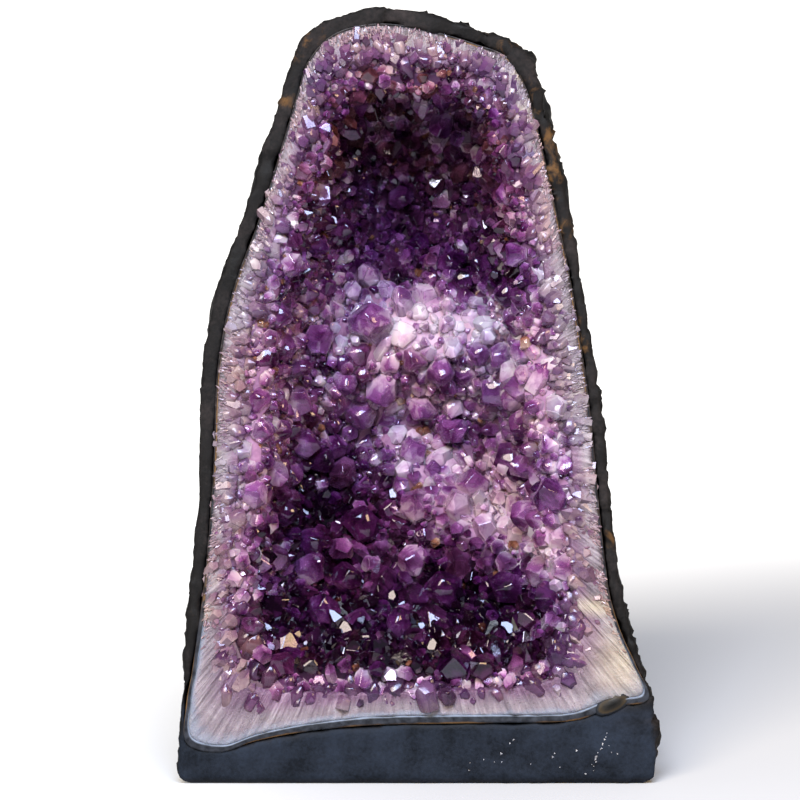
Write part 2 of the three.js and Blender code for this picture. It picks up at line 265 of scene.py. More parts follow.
class Nodes:
    """Short ways to lay out one material's nodes."""

    def __init__(self, name):
        self.material = bpy.data.materials.new(name)
        self.material.use_nodes = True
        self.tree = self.material.node_tree
        self.tree.nodes.clear()
        self.shader = self.node("BsdfPrincipled")
        self.link(self.shader.outputs[0], self.node("OutputMaterial").inputs[0])
        self.place = self.node("TexCoord").outputs["Object"]

    def node(self, kind, **inputs):
        node = self.tree.nodes.new("ShaderNode" + kind)
        set_inputs(node, inputs)
        return node

    def link(self, source, target):
        self.tree.links.new(source, target)

    def set(self, **values):
        set_inputs(self.shader, values)

    def put(self, socket, target):
        if hasattr(socket, "links"):
            self.link(socket, target)
        else:
            target.default_value = socket

    def attribute(self, name, vector=False):
        node = self.node("Attribute")
        node.attribute_name = name
        return node.outputs["Vector" if vector else "Fac"]

    def noise(self, scale, detail=3.0, rough=0.55, vector=None, distortion=0.0):
        node = self.node("TexNoise", Scale=scale, Detail=detail, Roughness=rough, Distortion=distortion)
        self.link(vector or self.place, node.inputs["Vector"])
        return node.outputs["Fac"]

    def cells(self, scale):
        node = self.node("TexVoronoi", Scale=scale)
        self.link(self.place, node.inputs["Vector"])
        return node.outputs["Distance"]

    def stretched(self, factors, vector):
        node = self.node("VectorMath")
        node.operation = "MULTIPLY"
        self.link(vector, node.inputs[0])
        node.inputs[1].default_value = factors
        return node.outputs[0]

    def math(self, operation, a, b):
        node = self.node("Math")
        node.operation = operation
        self.put(a, node.inputs[0])
        self.put(b, node.inputs[1])
        return node.outputs[0]

    def plus(self, a, b):
        return self.math("ADD", a, b)

    def minus(self, a, b):
        return self.math("SUBTRACT", a, b)

    def times(self, a, b):
        return self.math("MULTIPLY", a, b)

    def span(self, value, low, high, to_low=0.0, to_high=1.0):
        node = self.node("MapRange", From_Min=low, From_Max=high, To_Min=to_low, To_Max=to_high)
        node.interpolation_type = "SMOOTHSTEP"
        self.put(value, node.inputs["Value"])
        return node.outputs[0]

    def ramp(self, value, *stops):
        node = self.node("ValToRGB")
        while len(node.color_ramp.elements) < len(stops):
            node.color_ramp.elements.new(0.5)
        for element, (position, color) in zip(node.color_ramp.elements, stops):
            element.position = position
            element.color = (*color, 1.0)
        self.put(value, node.inputs[0])
        return node.outputs[0]

    def mix(self, share, a, b, kind="MIX"):
        node = self.node("Mix")
        node.data_type = "RGBA"
        node.blend_type = kind
        self.put(share, node.inputs[0])
        for value, socket in ((a, node.inputs[6]), (b, node.inputs[7])):
            if isinstance(value, tuple):
                socket.default_value = (*value, 1.0)
            else:
                self.link(value, socket)
        return node.outputs[2]

    def bump(self, height, distance, strength=1.0):
        node = self.node("Bump", Distance=distance, Strength=strength)
        self.link(height, node.inputs["Height"])
        self.link(node.outputs[0], self.shader.inputs["Normal"])

    def finish(self, color, roughness):
        self.link(color, self.shader.inputs["Base Color"])
        self.link(roughness, self.shader.inputs["Roughness"])
        return self.material


def basalt_material():
    n = Nodes("basalt")
    mottled = n.noise(60, 8, 0.65)
    fine = n.noise(700, 4, 0.6)
    tone = n.plus(n.times(mottled, 0.7), n.times(fine, 0.3))
    skin = n.ramp(
        tone, (0.35, (0.0015, 0.0014, 0.0016)), (0.5, (0.0045, 0.004, 0.0042)),
        (0.7, (0.022, 0.018, 0.018)),
    )
    sawn = n.ramp(tone, (0.38, (0.002, 0.0035, 0.0065)), (0.62, (0.012, 0.017, 0.028)))
    color = n.mix(n.attribute("sawn"), skin, sawn)
    rust = n.plus(n.noise(130, 7, 0.7, distortion=0.5), n.times(n.attribute("rusty"), 0.32))
    rust = n.times(n.span(rust, 0.70, 0.92), 0.85)
    color = n.mix(rust, color, (0.085, 0.042, 0.014))
    n.set(Specular_IOR_Level=0.1)
    roughness = n.span(tone, 0.3, 0.7, 0.5, 0.85)
    n.bump(n.plus(n.noise(420, 6, 0.7), n.times(mottled, 2.0)), 0.0004, 0.6)
    return n.finish(color, roughness)


def agate_material():
    """A dark chalcedony line, gold-brown against the basalt and bluish towards the quartz."""
    n = Nodes("agate")
    across = n.plus(n.attribute("across"), n.times(n.noise(150, 3), 0.35))
    across = n.minus(across, 0.17)
    veins = n.noise(380, 4)
    color = n.ramp(veins, (0.35, (0.006, 0.007, 0.010)), (0.7, (0.028, 0.032, 0.042)))
    pale = n.span(across, 0.72, 1.0)
    color = n.mix(n.times(pale, 0.8), color, (0.20, 0.24, 0.32))
    gold = n.times(n.span(across, 0.24, 0.06), n.span(n.noise(40, 3), 0.42, 0.6))
    color = n.mix(gold, color, (0.13, 0.07, 0.026))
    side = n.span(n.attribute("height"), 0.0, 1.0)
    dark = n.ramp(
        veins, (0.35, (0.004, 0.003, 0.003)), (0.65, (0.026, 0.020, 0.020)), (0.8, (0.12, 0.10, 0.10)),
    )
    color = n.mix(side, color, dark)
    n.set(Specular_IOR_Level=0.15)
    n.bump(n.noise(900, 4), 0.0002, 0.4)
    return n.finish(color, n.span(n.noise(300, 3), 0.3, 0.7, 0.25, 0.5))


def quartz_material():
    """Fibrous quartz: bluish white at its root, cream in places, lilac towards the crystals."""
    n = Nodes("pale_quartz")
    along = n.attribute("strip", vector=True)
    fibres = n.noise(1.0, 4, 0.6, vector=n.stretched((900.0, 90.0, 0.0), along))
    combs = n.noise(1.0, 3, 0.6, vector=n.stretched((300.0, 40.0, 0.0), along))
    clouds = n.noise(70, 4, 0.6, distortion=0.5)
    tone = n.plus(n.times(fibres, 0.3), n.times(combs, 0.35))
    tone = n.plus(tone, n.times(clouds, 0.4))
    across = n.plus(n.attribute("across"), n.times(n.minus(clouds, 0.5), 0.5))
    # The milky quartz colour is kept darker than the rim crystals, partly as painted shade between them.
    milky = n.ramp(tone, (0.40, (0.09, 0.07, 0.09)), (0.55, (0.17, 0.14, 0.165)), (0.68, (0.31, 0.28, 0.30)))
    lilac = n.ramp(
        tone, (0.40, (0.045, 0.018, 0.043)), (0.55, (0.11, 0.058, 0.105)), (0.68, (0.21, 0.14, 0.20)),
    )
    color = n.mix(n.span(across, 0.25, 0.75), milky, lilac)
    side = n.span(n.attribute("height"), 0.0, 1.0)
    blue = n.times(n.span(across, 0.22, 0.02), n.minus(1.0, side))
    color = n.mix(n.times(blue, 0.7), color, (0.17, 0.20, 0.26))
    comb = n.times(n.span(across, 0.28, 0.05), side)
    color = n.mix(n.times(comb, n.span(fibres, 0.62, 0.42)), color, (0.045, 0.035, 0.04))
    cream = n.ramp(tone, (0.4, (0.18, 0.135, 0.10)), (0.65, (0.38, 0.34, 0.28)))
    color = n.mix(n.attribute("cream"), color, cream)
    specks = n.span(n.cells(520), 0.16, 0.08)
    specks = n.times(specks, n.span(n.noise(90, 2), 0.5, 0.62))
    color = n.mix(specks, color, (0.035, 0.025, 0.03))
    n.set(Subsurface_Weight=0.25, Subsurface_Radius=(0.006, 0.004, 0.006), Subsurface_Scale=0.5)
    n.set(Specular_IOR_Level=0.3)
    n.bump(n.plus(fibres, n.noise(1400, 3)), 0.0006, 0.7)
    return n.finish(color, n.span(fibres, 0.35, 0.7, 0.3, 0.6))


def crystal_material(name, colors, warm_colors, clearness, gloss, roughness):
    """Glassy crystals whose colour deepens towards the tip and is darkened a little from facet to facet, as
    painted shading of the light inside each crystal.
    """
    n = Nodes(name)
    purple = n.attribute("purple")
    veils = n.noise(170, 4, 0.6, distortion=0.8)
    purple = n.plus(purple, n.times(n.minus(veils, 0.5), 0.9))
    color = n.mix(n.attribute("warmth"), n.ramp(purple, *colors), n.ramp(purple, *warm_colors))
    hue = n.ramp(n.noise(24, 2), (0.4, (0.88, 0.96, 1.0)), (0.6, (1.0, 0.88, 0.84)))
    color = n.mix(1.0, color, hue, "MULTIPLY")
    specks = n.times(n.span(n.cells(650), 0.14, 0.07), n.span(n.noise(60, 2), 0.56, 0.66))
    color = n.mix(specks, color, (0.03, 0.015, 0.02))
    # Painted shading: each facet is darkened by a random amount, for light reflected unevenly inside the
    # crystal.
    facet_shading = n.ramp(n.attribute("tone"), (0.0, (0.45, 0.40, 0.48)), (0.65, (1.0, 1.0, 1.0)))
    color = n.mix(1.0, color, facet_shading, "MULTIPLY")
    n.set(IOR=1.544, Transmission_Weight=clearness, Specular_IOR_Level=gloss)
    n.set(Specular_Tint=(0.86, 0.85, 1.0, 1.0))
    n.bump(n.noise(500, 2), 0.00012, 0.3)
    return n.finish(color, n.span(n.noise(260, 3), 0.35, 0.7, *roughness))


def amethyst_materials():
    """Bright glassy amethyst, and a kind with less shine for the small crystals in the gaps between large
    crystals, which are painted nearly black as shade.
    """
    purples = (
        (0.0, (0.96, 0.88, 0.96)),
        (0.2, (0.78, 0.56, 0.78)),
        (0.45, (0.32, 0.10, 0.36)),
        (0.7, (0.095, 0.011, 0.105)),
        (1.0, (0.007, 0.0006, 0.009)),
    )
    browns = ((0.0, (0.78, 0.60, 0.42)), (0.4, (0.40, 0.17, 0.07)), (1.0, (0.05, 0.010, 0.008)))
    bright = crystal_material("amethyst", purples, browns, 0.6, 0.28, (0.03, 0.13))
    return bright, crystal_material("shaded_amethyst", purples, browns, 0.4, 0.12, (0.1, 0.3))


def rim_crystal_material():
    lilacs = (
        (0.0, (0.37, 0.30, 0.33)),
        (0.25, (0.235, 0.155, 0.205)),
        (0.5, (0.125, 0.05, 0.135)),
        (1.0, (0.025, 0.004, 0.035)),
    )
    creams = ((0.0, (0.48, 0.41, 0.32)), (0.4, (0.30, 0.20, 0.11)), (1.0, (0.12, 0.05, 0.02)))
    return crystal_material("rim_crystals", lilacs, creams, 0.35, 0.35, (0.14, 0.32))


def druse_wall_material():
    """Milky quartz under the crystals, painted nearly black deep in the hollow as shade."""
    n = Nodes("druse_wall")
    veils = n.noise(160, 4, 0.6)
    purple = n.plus(n.attribute("purple"), n.times(n.minus(veils, 0.5), 0.6))
    n.set(Specular_IOR_Level=0.12)
    color = n.ramp(
        purple, (0.0, (0.42, 0.30, 0.37)), (0.3, (0.22, 0.11, 0.19)), (0.6, (0.03, 0.008, 0.028)),
        (1.0, (0.002, 0.0006, 0.003)),
    )
    n.bump(n.noise(700, 3), 0.0003, 0.6)
    return n.finish(color, n.span(veils, 0.3, 0.7, 0.15, 0.4))


def fleck_material():
    n = Nodes("pale_flecks")
    color = n.ramp(n.noise(900, 3), (0.35, (0.10, 0.10, 0.12)), (0.6, (0.34, 0.34, 0.36)))
    n.bump(n.noise(2500, 3), 0.0002, 0.5)
    return n.finish(color, n.span(n.noise(700, 2), 0.3, 0.7, 0.6, 0.9))


def eye_material():
    """Brown-green bands round a nearly black middle."""
    n = Nodes("agate_eye")
    ring = n.plus(n.attribute("ring"), n.times(n.noise(260, 4), 0.3))
    color = n.ramp(
        ring, (0.3, (0.003, 0.003, 0.003)), (0.6, (0.010, 0.009, 0.008)), (0.85, (0.030, 0.022, 0.013)),
        (1.05, (0.010, 0.012, 0.016)),
    )
    n.set(Specular_IOR_Level=0.1)
    n.bump(n.noise(800, 4), 0.0002, 0.5)
    return n.finish(color, n.span(n.noise(300, 3), 0.3, 0.7, 0.35, 0.6))


# ---- crystal shapes
def crystal_shape(random, soft_edges):
    """One quartz crystal, radius about 1: corners, triangles, heights, facet numbers and its tip's height.

    It is cut by half-spaces: six column sides, then six end faces of which three are larger.
    The root is flat, and the tip is at about 1.9.
    """
    body = bmesh.new()
    bmesh.ops.create_cube(body, size=8.0)
    shoulder = random.uniform(0.1, 0.9)
    planes = [((0, 0, -1), CRYSTAL_ROOT)]
    first = random.uniform(0, pi / 3)
    for side in range(6):
        turn = first + side * pi / 3 + random.uniform(-0.05, 0.05)
        planes.append(((cos(turn), sin(turn), 0), random.uniform(0.66, 1.0)))
        large = 0.0 if side % 2 else random.uniform(0.05, 0.4)
        tilt = TIP_SLOPE + random.uniform(-0.05, 0.05)
        way = (cos(turn) * cos(tilt), sin(turn) * cos(tilt), sin(tilt))
        reach = END_REACH * cos(tilt) + shoulder * sin(tilt) + large + random.uniform(-0.07, 0.05)
        planes.append((way, reach))
    for way, reach in planes:
        normal = Vector(way).normalized()
        geometry = body.verts[:] + body.edges[:] + body.faces[:]
        cut = bmesh.ops.bisect_plane(
            body, geom=geometry, dist=1e-5, plane_co=normal * reach, plane_no=normal, clear_outer=True
        )
        rim = [e for e in cut["geom_cut"] if isinstance(e, bmesh.types.BMEdge)]
        if rim:
            bmesh.ops.contextual_create(body, geom=rim)
    bmesh.ops.remove_doubles(body, verts=body.verts[:], dist=0.02)
    if soft_edges:
        settings = {"segments": 1, "profile": 0.6, "affect": "EDGES", "clamp_overlap": True}
        bmesh.ops.bevel(body, geom=body.edges[:], offset=soft_edges, **settings)
    bmesh.ops.recalc_face_normals(body, faces=body.faces[:])
    body.faces.ensure_lookup_table()
    number = body.faces.layers.int.new("facet")
    for f in body.faces:
        f[number] = f.index
    bmesh.ops.triangulate(body, faces=body.faces[:])
    body.verts.index_update()
    corners = np.array([v.co[:] for v in body.verts])
    triangles = np.array([[v.index for v in f.verts] for f in body.faces])
    facets = np.array([f[number] for f in body.faces])
    body.free()
    top = corners[:, 2].max()
    heights = np.clip(corners[:, 2] / top, 0.0, 1.0)
    return corners, triangles, heights, facets, top


def crystal_shapes(count, soft_edges, seed):
    random = np.random.default_rng(seed)
    return [crystal_shape(random, soft_edges) for _ in range(count)]


def turned_to(ways, spins):
    """Turning matrices that carry +Z to each way after a spin about +Z."""
    ways = unit(ways)
    helper = np.where(np.abs(ways[:, 2:3]) < 0.9, [[0.0, 0.0, 1.0]], [[1.0, 0.0, 0.0]])
    side = unit(np.cross(helper, ways))
    up = np.cross(ways, side)
    c, s = np.cos(spins)[:, None], np.sin(spins)[:, None]
    return np.stack([side * c + up * s, up * c - side * s, ways], axis=2)


def facts_of(place, way, radius, stretch, root, tip, warmth):
    """What grown_mesh needs to know of many crystals; the colours are kept between 0 and 1."""
    sizes = {"place": place, "way": way, "radius": radius, "stretch": stretch}
    colors = {"root": root, "tip": tip, "warmth": warmth}
    return sizes | {key: np.clip(value, 0, 1) for key, value in colors.items()}


def picked(crystals, chosen):
    return {key: value[chosen] for key, value in crystals.items()}


def grown_mesh(name, crystals, shapes):
    """One mesh of many crystals: shapes picked and spun at random, turned and scaled to their facts."""
    count = len(crystals["place"])
    kinds = rng.integers(0, len(shapes), count)
    turns = turned_to(crystals["way"], rng.uniform(0, 2 * pi, count))
    # A random painted shade for each facet, which the crystal materials use for light inside the crystal.
    tones = rng.uniform(0.0, 1.0, (count, FACET_TONES))
    parts = {"places": [], "faces": [], "purple": [], "warmth": [], "tone": []}
    offset = 0
    for kind, (corners, triangles, heights, facets, _) in enumerate(shapes):
        chosen = np.flatnonzero(kinds == kind)
        if not len(chosen):
            continue
        some = picked(crystals, chosen)
        r = some["radius"][:, None, None]
        scale = np.concatenate([r, r, r * some["stretch"][:, None, None]], axis=2)
        world = np.einsum("nij,nkj->nki", turns[chosen], corners[None] * scale) + some["place"][:, None]
        parts["places"].append(world.reshape(-1, 3))
        base = offset + np.arange(len(chosen))[:, None, None] * len(corners)
        parts["faces"].append((triangles[None] + base).reshape(-1, 3))
        offset += len(chosen) * len(corners)
        root, tip = some["root"][:, None], some["tip"][:, None]
        parts["purple"].append((root + (tip - root) * heights[None] ** TIP_FADE).ravel())
        parts["warmth"].append(np.repeat(some["warmth"], len(corners)))
        parts["tone"].append(tones[chosen][:, facets % FACET_TONES].ravel())
    joined = {key: np.concatenate(value) for key, value in parts.items()}
    mesh = mesh_of(name, joined["places"], joined["faces"])
    for key, domain in (("purple", "POINT"), ("warmth", "POINT"), ("tone", "FACE")):
        add_attribute(mesh, key, joined[key], domain)
    return mesh


# ---- rock
def flat_chips(places, size, steepness):
    """Heights of broken facets: round each seed the surface is a plane of its own."""
    draws = np.random.default_rng(int(size / MM * 100))
    count = int(ROCK_AREA / size**2)
    seeds = places[draws.choice(len(places), count, replace=False)]
    tilts = draws.normal(0, steepness, (count, 3))
    tree = KDTree(count)
    for i, seed in enumerate(seeds):
        tree.insert(seed, i)
    tree.balance()
    nearest = np.array([tree.find(place)[1] for place in places])
    return np.clip(((places - seeds[nearest]) * tilts[nearest]).sum(axis=1), -0.2 * size, 0.2 * size)


def round_foot(places, radius):
    """Rounds the two lower corners of the sawn foot as seen from the front."""
    low_part = places[:, 2] < radius
    drop = radius - places[low_part, 2]
    inset = radius - np.sqrt(radius**2 - drop**2)
    x = places[low_part, 0]
    places[low_part, 0] = np.clip(x, x.min() + inset, x.max() - inset)


def basalt_piece(material):
    """The rind: the CAD solid with its facets rounded, then roughened where it isn't sawn."""
    body = bmesh.new()
    body.from_mesh(nodes["basalt_rind"].data)
    bmesh.ops.remove_doubles(body, verts=body.verts[:], dist=1e-5)
    bmesh.ops.join_triangles(body, faces=body.faces[:], angle_face_threshold=0.5, angle_shape_threshold=1.0)
    crease = body.edges.layers.float.new("crease_edge")
    for edge in body.edges:
        edge[crease] = 1.0 if edge.calc_face_angle(0.0) > 0.6 else 0.0
    rough = bpy.data.meshes.new("basalt")
    body.to_mesh(rough)
    body.free()
    mesh = modified(
        rough,
        ("SUBSURF", {"levels": 2, "render_levels": 2}),
        ("REMESH", {"mode": "VOXEL", "voxel_size": ROCK_VOXEL}),
    )
    places = corner_vectors(mesh, "co")
    normals = corner_vectors(mesh, "normal")
    ahead = places[:, 1] - face_y(places[:, 2])
    sill = smoothstep(1.2 * MM, 0.4 * MM, np.abs(ahead)) * smoothstep(34 * MM, 26 * MM, places[:, 2])
    under = smoothstep(1.5 * MM, 0.3 * MM, places[:, 2])
    on_face = smoothstep(2.5 * MM, 0.3 * MM, np.abs(ahead))
    smooth_cut = np.maximum(sill, under)
    coarse = noise(places, 18 * MM, 1, 3) * 0.9 * MM + noise(places, 5 * MM, 5, 3) * 0.3 * MM
    chips = flat_chips(places, 9 * MM, 0.26) + flat_chips(places, 4 * MM, 0.2)
    worn = 0.35 + 0.65 * smoothstep(-0.3, 0.4, noise(places, 50 * MM, 17))
    worn *= 0.55 + 0.45 * smoothstep(-20 * MM, 40 * MM, places[:, 0])
    lift = (coarse + chips * worn - 0.7 * MM) * (1 - 0.4 * on_face) * (1 - 0.95 * smooth_cut)
    lift += noise(places, 30 * MM, 13) * 0.12 * MM * sill
    crown = smoothstep(268 * MM, 288 * MM, places[:, 2]) * smoothstep(-40 * MM, -15 * MM, places[:, 0])
    lift += crown * flat_chips(places, 14 * MM, 0.12)
    places += normals * lift[:, None]
    places[:, 2] = np.maximum(places[:, 2], 0.0)
    round_foot(places, 6 * MM)
    mesh.vertices.foreach_set("co", places.ravel())
    mesh.update()
    rusty = 0.5 * smoothstep(0.2, 0.6, noise(places, 40 * MM, 21, 2))
    rusty *= smoothstep(60 * MM, 130 * MM, places[:, 2])
    near_face = smoothstep(50 * MM, 12 * MM, ahead)
    rusty = np.maximum(rusty, zones(places, RUST_ZONES) * near_face) * (1 - smooth_cut)
    add_attribute(mesh, "sawn", smooth_cut)
    add_attribute(mesh, "rusty", rusty)
    add_piece("basalt_rock", mesh, material, ("basalt_rind",), smooth=True)


# ---- rim of the opening
def face_loops(node):
    """The outer and inner outlines of a layer on the open face, both counterclockwise."""
    places, triangles = mesh_arrays(nodes[node].data)
    places, merged = np.unique(np.round(places, 6), axis=0, return_inverse=True)
    triangles = merged.reshape(-1)[triangles]
    on_face = np.abs(places[:, 1] - face_y(places[:, 2])) < 0.15 * MM
    flat = triangles[on_face[triangles].all(axis=1)]
    edges = {(int(t[k]), int(t[(k + 1) % 3])) for t in flat for k in range(3)}
    after = {a: b for a, b in edges if (b, a) not in edges}
    loops = []
    while after:
        start, here = after.popitem()
        loop = [start]
        while here != start:
            loop.append(here)
            here = after.pop(here)
        loops.append(places[loop])
    loops.sort(key=lambda loop: -polar(loop)[1].mean())
    return [loop if np.unwrap(polar(loop)[0])[-1] > polar(loop)[0][0] else loop[::-1] for loop in loops[:2]]


def polar(places):
    """Angle and distance from the dome's axis, seen from the front."""
    x, z = places[:, 0] - AXIS[0], places[:, 2] - AXIS[1]
    return np.arctan2(z, x), np.hypot(x, z)


def reach_at(here, loop):
    """How far an outline is from the dome's axis at each angle."""
    turn, reach = polar(loop)
    order = np.argsort(turn)
    return np.interp(here, turn[order], reach[order], period=2 * pi)


def paired_loops(node, count):
    """Smooth outer and inner outlines of a layer whose places lie on the same rays from the axis."""
    outer, inner = (dense_loop(loop, count) for loop in face_loops(node))
    here = polar(outer)[0]
    reach = reach_at(here, inner)
    x, z = AXIS[0] + reach * np.cos(here), AXIS[1] + reach * np.sin(here)
    return outer, np.stack([x, face_y(z), z], axis=1)


def dense_loop(points, count):
    """A smooth closed curve through points, as evenly numbered places."""
    at = np.linspace(0, len(points), count, endpoint=False)
    i = np.floor(at).astype(int)
    t = (at - i)[:, None]
    p0, p1, p2, p3 = (points[(i + k) % len(points)] for k in (-1, 0, 1, 2))
    bend = 2 * p0 - 5 * p1 + 4 * p2 - p3
    return 0.5 * (2 * p1 + (p2 - p0) * t + bend * t**2 + (3 * p1 - p0 - 3 * p2 + p3) * t**3)


def rim_strip(name, outer, inner, relief, depth, across_steps, material):
    """A closed band between two outlines on the open face, with its front raised by a relief."""
    around = len(outer)
    share = np.linspace(0, 1, across_steps)
    rows = outer[:, None] + (inner - outer)[:, None] * share[None, :, None]
    length = np.cumsum(np.linalg.norm(np.roll(outer, -1, 0) - outer, axis=1))
    width = np.linalg.norm(inner - outer, axis=1)
    u = np.repeat(length[:, None], across_steps, 1)
    v = width[:, None] * share[None]
    lift = relief(rows.reshape(-1, 3), u.ravel(), v.ravel(), np.tile(share, around))
    front = rows + FRONT * lift.reshape(around, across_steps, 1)
    back = rows[:, [-1, 0]] - FRONT * depth
    ring = np.concatenate([front, back], axis=1)
    sides = ring.shape[1]
    index = np.arange(around * sides).reshape(around, sides)
    ahead, beside = np.roll(index, -1, 0), np.roll(index, -1, 1)
    corner = np.roll(ahead, -1, 1)
    faces = np.stack([index, ahead, corner, beside], axis=2).reshape(-1, 4)
    mesh = mesh_of(name, ring.reshape(-1, 3), faces)
    strip = np.zeros((around, sides, 3))
    strip[:, :across_steps, 0] = u
    strip[:, :across_steps, 1] = v
    strip[:, across_steps:, 0] = u[:, :2]
    add_attribute(mesh, "strip", strip.reshape(-1, 3))
    flat = np.concatenate([np.tile(share, (around, 1)), np.tile([1.0, 0.0], (around, 1))], axis=1)
    add_attribute(mesh, "across", flat.ravel())
    add_attribute(mesh, "height", up_the_side(ring.reshape(-1, 3)))
    add_attribute(mesh, "cream", creamy(ring.reshape(-1, 3)))
    add_piece(name, mesh, material, smooth=True)


def up_the_side(places):
    """0 along the foot, 1 along the sides and the top."""
    return smoothstep(45 * MM, 90 * MM, places[:, 2])


def beside(places):
    """0 along the middle of the foot, 1 along the sides down to the corners and over the top."""
    corner = smoothstep(48 * MM, 66 * MM, np.abs(places[:, 0])) * smoothstep(30 * MM, 46 * MM, places[:, 2])
    return np.maximum(up_the_side(places), corner)


def creamy(places):
    patches = smoothstep(0.35, 0.75, noise(places, 13 * MM, 61, 2)) * 0.45
    return np.clip(zones(places, CREAM_ZONES) + patches, 0.0, 1.0)


def agate_relief(places, u, v, share):
    edge = smoothstep(0.0, 0.15, share) * smoothstep(1.0, 0.85, share)
    return edge * (0.7 - 0.9 * up_the_side(places)) * MM + noise(places, 4 * MM, 31, 2) * 0.2 * MM


def quartz_relief(places, u, v, share):
    """Broken quartz: radial fibres and lumps that drop away at both edges."""
    stretched = np.stack([u, v * 0.12, np.zeros_like(u)], axis=1)
    fibres = noise(stretched, 1.5 * MM, 41, 2) * 0.35 * MM
    combs = noise(np.stack([u, v * 0.3, 0 * u], axis=1), 4.5 * MM, 45, 2) * 0.6 * MM
    lumps = noise(places, 9 * MM, 49, 2) * 0.6 * MM
    edge = smoothstep(0.0, 0.06, share) * smoothstep(1.0, 0.8, share)
    drop = -6 * MM * smoothstep(0.8, 1.0, share)
    return np.maximum(1.0 * MM + fibres + combs + lumps, 0.25 * MM) * edge + 0.1 * MM + drop


def widened(loop, amount):
    """The outline moved outwards from the dome's axis by one amount or by one for each place."""
    away = loop - np.array([AXIS[0], 0, AXIS[1]])
    away[:, 1] = 0
    return loop + unit(away) * np.reshape(amount, (-1, 1))


# ---- druse
def open_wall():
    """Triangles of the druse that face the hollow: centres, normals, areas and corners."""
    places, triangles = mesh_arrays(nodes["amethyst_druse"].data)
    tree = BVHTree.FromPolygons(places.tolist(), triangles.tolist())
    corners = places[triangles]
    cross = np.cross(corners[:, 1] - corners[:, 0], corners[:, 2] - corners[:, 0])
    areas = np.linalg.norm(cross, axis=1) / 2
    normals = unit(cross)
    centres = corners.mean(axis=1)
    looks = [(0, -1, 0), (0.7, -1, 0), (-0.7, -1, 0), (0, -1, 0.7), (0, -1, -0.5)]
    keep = []
    for i, (centre, normal) in enumerate(zip(centres, normals)):
        start = Vector(centre + normal * 0.4 * MM)
        seen = any(tree.ray_cast(start, Vector(way))[0] is None for way in looks)
        if seen and normal @ FRONT > -0.6:
            keep.append(i)
    keep = np.array(keep)
    return centres[keep], normals[keep], areas[keep], corners[keep]


def calm_normals(points, centres, normals, areas, reach):
    """The wall's direction at each point, averaged over its neighbourhood."""
    result = np.zeros_like(points)
    for start in range(0, len(points), 1000):
        some = points[start : start + 1000]
        gap = ((some[:, None] - centres[None]) ** 2).sum(axis=2)
        weight = np.exp(-gap / reach**2) * areas[None]
        result[start : start + 1000] = weight @ normals
    return unit(result)


def outline_margin(x, z, loop):
    """How far inside the druse's outline a place is, measured towards the dome's axis."""
    here = np.arctan2(z - AXIS[1], x - AXIS[0])
    return reach_at(here, loop) - np.hypot(z - AXIS[1], x - AXIS[0])


def thinned(points, radii, room, taken=(), taken_radii=()):
    """Indices of points that keep their distance from each other and from those taken already."""
    cell = 12 * MM
    grid = {}

    def near(p):
        x, y, z = np.floor(p / cell).astype(int)
        for dx, dy, dz in product((-1, 0, 1), repeat=3):
            yield from grid.get((x + dx, y + dy, z + dz), ())

    def remember(p, r):
        grid.setdefault(tuple(np.floor(p / cell).astype(int)), []).append((p, r))

    for p, r in zip(taken, taken_radii):
        remember(p, r)
    chosen = []
    for i, (p, r) in enumerate(zip(points, radii)):
        if all((p - q) @ (p - q) > (room * (r + s)) ** 2 for q, s in near(p)):
            chosen.append(i)
            remember(p, r)
    return np.array(chosen, dtype=int)


def wall_colour(places, margin):
    """How purple and how warm the amethyst is at each place of the wall, before small variation; it is
    painted paler where light falls on the ledges and deeper purple in painted shade.
    """
    rim = smoothstep(11 * MM, 1 * MM, margin) * (1 - 0.9 * smoothstep(190 * MM, 250 * MM, places[:, 2]))
    rim *= 0.25 + 0.75 * up_the_side(places)
    # pale: the paler crystals near the rim, together with painted light on the ledges
    pale = np.maximum(zones(places, LIT_LEDGE_ZONES), rim * 0.6)
    # dark: painted shade in the hollows and under the overhangs, away from the rim
    dark = zones(places, SHADE_ZONES) * smoothstep(4 * MM, 12 * MM, margin)
    purple = 0.60 - 0.60 * pale * (1 - 0.6 * dark) + 0.65 * dark
    warm = 0.30 * smoothstep(190 * MM, 260 * MM, places[:, 2]) + 0.12
    return purple, warm


def druse_wall(material, outline):
    """The CAD druse with the colour zones of its crystals, painted light and shade among them."""
    mesh = nodes["amethyst_druse"].data.copy()
    places = corner_vectors(mesh, "co")
    purple, _ = wall_colour(places, outline_margin(places[:, 0], places[:, 2], outline))
    add_attribute(mesh, "purple", np.clip(purple, 0, 1))
    add_piece("druse_wall", mesh, material, ("amethyst_druse",))


def leaned(way, place, lamp, share):
    """Leans a share of the crystals so that one of their end faces can mirror a lamp to the front."""
    half = unit(unit(np.array(lamp) - place) + unit(np.array(VIEWER) - place))
    side = unit(way - (way * half).sum(axis=1, keepdims=True) * half)
    lean = half * sin(TIP_SLOPE) + side * cos(TIP_SLOPE)
    return np.where((rng.random(len(way)) < share)[:, None], lean, way)


